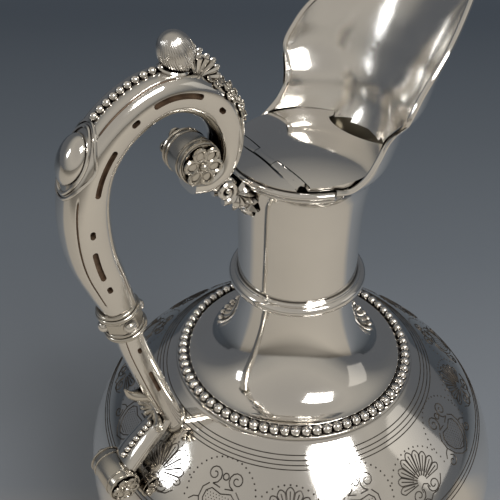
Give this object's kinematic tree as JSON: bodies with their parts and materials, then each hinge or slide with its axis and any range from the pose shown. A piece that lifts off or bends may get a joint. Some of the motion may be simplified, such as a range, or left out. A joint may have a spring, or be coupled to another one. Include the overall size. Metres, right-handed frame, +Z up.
{
  "type": "wine ewer",
  "caption": "Footed ovoid silver wine ewer with slim neck, tall flaring lip, hinged half lid and pierced scroll handle with cast ornament; pours wine at table.",
  "frame": {"origin": "centre of the plane that the foot rests on, on the axis of the turned body", "axes": "+Z up along the axis of the body, +X towards the spout, -X towards the handle, Y across, with the handle and spout in the plane Y = 0"},
  "size_m": [0.1412, 0.139, 0.2815],
  "materials": {
    "polished_silver": "mirror-polished raised sheet with fine old scratches",
    "cast_silver": "polished cast and chased work with darkened recesses",
    "bead_silver": "polished stamped beads with dark gaps",
    "satin_silver": "satin where the thumb rubs",
    "pin_steel": "drawn wire, ends filed flush"
  },
  "bodies": {
    "ewer": {"arm_beads": "cast_silver", "arm_boss": "cast_silver", "boss_frame": "cast_silver", "bowl": "polished_silver", "bracket_leaf": "cast_silver", "collar_studs": "cast_silver", "crest_flowers": "cast_silver", "drum_rosettes": "cast_silver", "foot": "polished_silver", "foot_beads": "bead_silver", "foot_knop": "polished_silver", "foot_rim": "polished_silver", "handle_arm": "cast_silver", "handle_collar": "cast_silver", "handle_stem": "cast_silver", "handle_tail": "cast_silver", "hinge_leaf": "polished_silver", "hinge_pin": "pin_steel", "leaf_knuckles": "polished_silver", "neck_base": "polished_silver", "neck_bracket": "cast_silver", "neck_lip": "polished_silver", "neck_ring": "polished_silver", "rim_moulding": "polished_silver", "rim_scrolls": "cast_silver", "shoulder": "polished_silver", "shoulder_beads": "bead_silver", "stem_beads": "cast_silver", "stem_pad": "cast_silver", "stem_shell": "cast_silver", "stem_tendril": "cast_silver", "stem_volute": "cast_silver", "thumb_ball": "satin_silver", "thumb_shell": "cast_silver", "volute_drum": "cast_silver", "volute_flowers": "cast_silver"},
    "lid": {"lid_plate": "polished_silver", "lid_knuckle": "polished_silver"}
  },
  "joints": [
    {"name": "lid_hinge", "type": "hinge", "parent": "ewer", "child": "lid", "pos_m": [-0.0121, 0, 0.2349], "axis": [0, -1, 0], "range_deg": [0, 90]}
  ]
}
